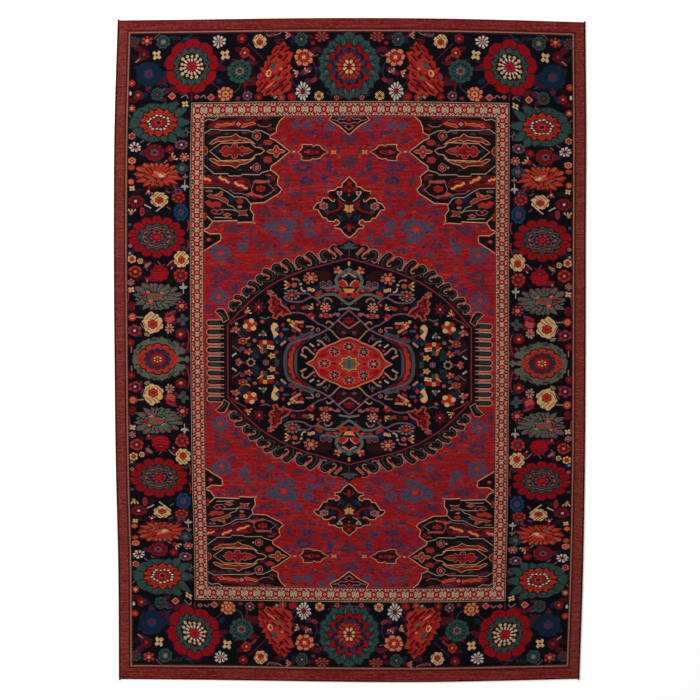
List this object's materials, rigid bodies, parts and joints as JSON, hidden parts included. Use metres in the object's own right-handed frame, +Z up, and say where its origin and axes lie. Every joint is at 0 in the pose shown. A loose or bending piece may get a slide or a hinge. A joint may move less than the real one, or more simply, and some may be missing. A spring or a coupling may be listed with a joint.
{
  "type": "oushak rug",
  "caption": "Rectangular hand-knotted wool pile rug lying flat, with a hooked medallion, floral border and overcast cord edges.",
  "frame": {"origin": "on the floor under the middle of the rug", "axes": "+Z up from the floor through the pile, +Y along the rug's length to its far end, +X to the right across its width"},
  "size_m": [2.176, 3.0583, 0.009],
  "materials": {
    "pile_wool": "cut wool pile in red, navy, ivory, blue and green",
    "side_cord_wool": "dark overcast wool yarn",
    "end_cord_wool": "dark red overcast wool yarn"
  },
  "bodies": {
    "root": {"pile_rug": "pile_wool", "side_cord_left": "side_cord_wool", "side_cord_right": "side_cord_wool", "end_cord_far": "end_cord_wool", "end_cord_near": "end_cord_wool"}
  },
  "joints": []
}
